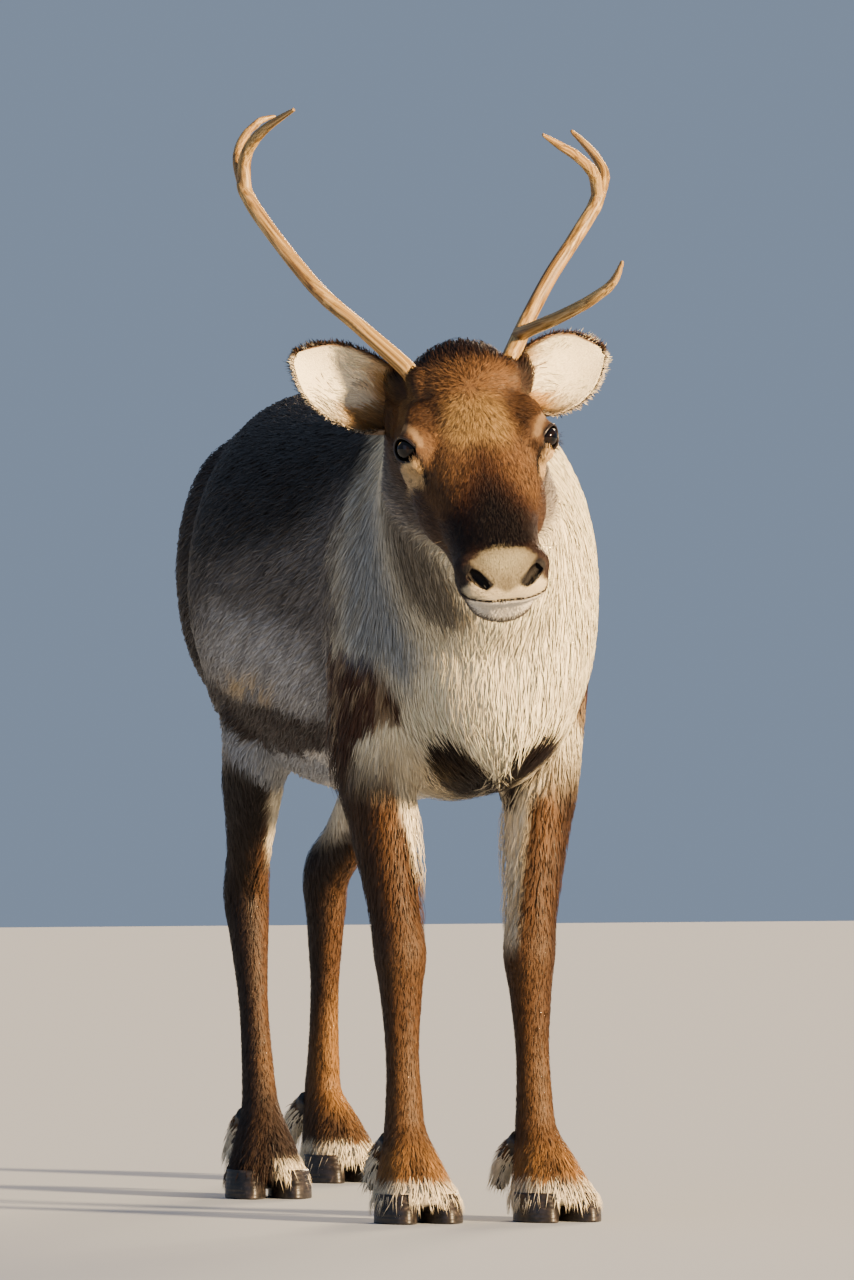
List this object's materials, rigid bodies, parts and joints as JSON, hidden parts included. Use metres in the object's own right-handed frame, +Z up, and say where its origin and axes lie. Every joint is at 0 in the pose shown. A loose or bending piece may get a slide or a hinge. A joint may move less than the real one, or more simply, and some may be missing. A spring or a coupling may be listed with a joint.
{
  "type": "reindeer",
  "caption": "Life-size standing young reindeer in winter coat, head low and turned to the front, with slender bare antlers.",
  "frame": {"origin": "middle of the bounding box on the floor the hooves stand on", "axes": "+Z up, -Y the way the animal faces, +X its left side"},
  "size_m": [0.4718, 1.3138, 1.131],
  "materials": {
    "back_coat": "dense winter hair over underfur, dark brown on the back",
    "pale_coat": "long creamy white hair of throat, chest and tail",
    "leg_coat": "short close brown hair",
    "face_coat": "short close brown hair, darker on the nose",
    "antler": "hard bare antler, fine lengthwise streaks",
    "hoof": "worn black horn",
    "eye": "wet, nearly black"
  },
  "bodies": {
    "root": {"antler_left_beam": "antler", "antler_left_brow_tine": "antler", "antler_left_front_tine": "antler", "antler_left_rear_tine": "antler", "antler_right_beam": "antler", "antler_right_front_tine": "antler", "antler_right_rear_tine": "antler", "ear_left": "face_coat", "ear_right": "face_coat", "eye_left": "eye", "eye_right": "eye", "fore_cannon_left": "leg_coat", "fore_cannon_right": "leg_coat", "fore_dewclaw_inner_left": "hoof", "fore_dewclaw_inner_right": "hoof", "fore_dewclaw_outer_left": "hoof", "fore_dewclaw_outer_right": "hoof", "fore_foot_left": "leg_coat", "fore_foot_right": "leg_coat", "fore_hoof_inner_left": "hoof", "fore_hoof_inner_right": "hoof", "fore_hoof_outer_left": "hoof", "fore_hoof_outer_right": "hoof", "fore_upper_left": "leg_coat", "fore_upper_right": "leg_coat", "head": "face_coat", "hind_cannon_left": "leg_coat", "hind_cannon_right": "leg_coat", "hind_dewclaw_inner_left": "hoof", "hind_dewclaw_inner_right": "hoof", "hind_dewclaw_outer_left": "hoof", "hind_dewclaw_outer_right": "hoof", "hind_foot_left": "leg_coat", "hind_foot_right": "leg_coat", "hind_hoof_inner_left": "hoof", "hind_hoof_inner_right": "hoof", "hind_hoof_outer_left": "hoof", "hind_hoof_outer_right": "hoof", "hind_upper_left": "leg_coat", "hind_upper_right": "leg_coat", "neck": "pale_coat", "tail": "pale_coat", "torso": "back_coat"}
  },
  "joints": []
}
